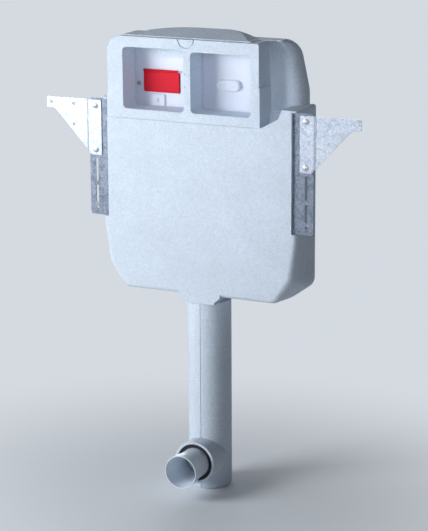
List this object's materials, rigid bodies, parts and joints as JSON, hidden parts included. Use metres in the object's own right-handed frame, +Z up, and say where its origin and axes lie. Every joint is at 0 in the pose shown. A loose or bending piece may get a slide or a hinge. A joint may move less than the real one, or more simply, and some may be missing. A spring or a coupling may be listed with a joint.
{
  "type": "toilet cistern",
  "caption": "Concealed flushing cistern: a foam-insulated tank with an access box in front, slotted rails with wing brackets, and an insulated flush pipe to a forward outlet.",
  "frame": {"origin": "centre of the outlet mouth, where the flush water leaves", "axes": "+Z up along the flush pipe, +Y back towards the wall, +X to the right seen from the front; the outlet points along -Y"},
  "size_m": [0.6446, 0.187, 0.886],
  "materials": {
    "foam": "expanded bead foam, satin",
    "galvanised_steel": "galvanised, spangled",
    "zinc_screw": "zinc plated",
    "tank_plastic": "blow moulded",
    "white_plastic": "satin",
    "grey_plastic": "satin",
    "red_plastic": "satin",
    "black_rubber": "matt",
    "pipe_plastic": "smooth",
    "outlet_plastic": "smooth, slightly translucent",
    "brass": "machined"
  },
  "bodies": {
    "cistern": {"foam_front": "foam", "foam_rear": "foam", "foam_lid": "foam", "access_box": "foam", "jacket_left": "foam", "jacket_right": "foam", "rail_left": "galvanised_steel", "rail_right": "galvanised_steel", "bracket_left": "galvanised_steel", "bracket_right": "galvanised_steel", "rail_screws": "zinc_screw", "bracket_screws": "zinc_screw", "bracket_washers": "zinc_screw", "bracket_nuts": "zinc_screw", "tank": "tank_plastic", "access_cover": "white_plastic", "inlet_plate": "white_plastic", "cover_clips": "white_plastic", "cover_screw": "grey_plastic", "plate_pin": "zinc_screw", "rocker_pin": "zinc_screw", "rocker_frame": "white_plastic", "valve_seat": "white_plastic", "valve_basket": "white_plastic", "seat_gasket": "black_rubber", "pipe_seal": "black_rubber", "outlet_seal": "black_rubber", "inlet_gasket": "black_rubber", "outlet_nut": "grey_plastic", "flush_pipe": "pipe_plastic", "fill_valve": "grey_plastic", "fill_lever_pin": "zinc_screw", "stop_valve": "brass", "inlet_nut": "brass", "supply_pipe": "pipe_plastic"},
    "push_plate": {"push_plate": "red_plastic"},
    "push_rod": {"push_rod": "white_plastic"},
    "rocker": {"rocker_lever": "white_plastic"},
    "flush_valve": {"overflow_tube": "white_plastic", "flush_seal": "black_rubber", "valve_float": "foam", "lift_rod": "white_plastic"},
    "fill_float": {"fill_float": "foam", "float_rod": "white_plastic"},
    "fill_lever": {"fill_lever": "white_plastic"},
    "stop_valve_handle": {"stop_valve_handle": "white_plastic", "stop_valve_spindle": "brass"},
    "outlet_spigot": {"outlet_spigot": "outlet_plastic"}
  },
  "joints": [
    {"name": "push_plate_press", "type": "hinge", "parent": "cistern", "child": "push_plate", "pos_m": [-0.0995, 0.1346, 0.7376], "axis": [1, 0, 0], "range_deg": [0, 12.23]},
    {"name": "push_rod_slide", "type": "slide", "parent": "cistern", "child": "push_rod", "axis": [0, 1, 0], "range_m": [0, 0.00751]},
    {"name": "rocker_tilt", "type": "hinge", "parent": "cistern", "child": "rocker", "pos_m": [-0.0995, 0.1652, 0.6896], "axis": [-1, 0, 0], "range_deg": [0, 30]},
    {"name": "flush_valve_lift", "type": "slide", "parent": "cistern", "child": "flush_valve", "axis": [0, 0, 1], "range_m": [0, 0.00828]},
    {"name": "float_rise", "type": "slide", "parent": "cistern", "child": "fill_float", "axis": [0, 0, 1], "range_m": [0, 0.01215]},
    {"name": "fill_lever_tilt", "type": "hinge", "parent": "cistern", "child": "fill_lever", "pos_m": [0.137, 0.157, 0.657], "axis": [0, 1, 0], "range_deg": [0, 26]},
    {"name": "stop_valve_turn", "type": "hinge", "parent": "cistern", "child": "stop_valve_handle", "pos_m": [0.0536, 0.1323, 0.7188], "axis": [0, 1, 0], "range_deg": [0, 90]},
    {"name": "outlet_spigot_slide", "type": "slide", "parent": "cistern", "child": "outlet_spigot", "axis": [0, -1, 0], "range_m": [-0.014, 0.008]}
  ],
  "couplings": [
    {"joint": "push_rod_slide", "follows": "push_plate_press", "m_per_rad": 0.035146},
    {"joint": "rocker_tilt", "follows": "push_plate_press", "ratio": 2.4523},
    {"joint": "flush_valve_lift", "follows": "push_plate_press", "m_per_rad": 0.038798},
    {"joint": "fill_lever_tilt", "follows": "float_rise", "rad_per_m": 37.35}
  ]
}
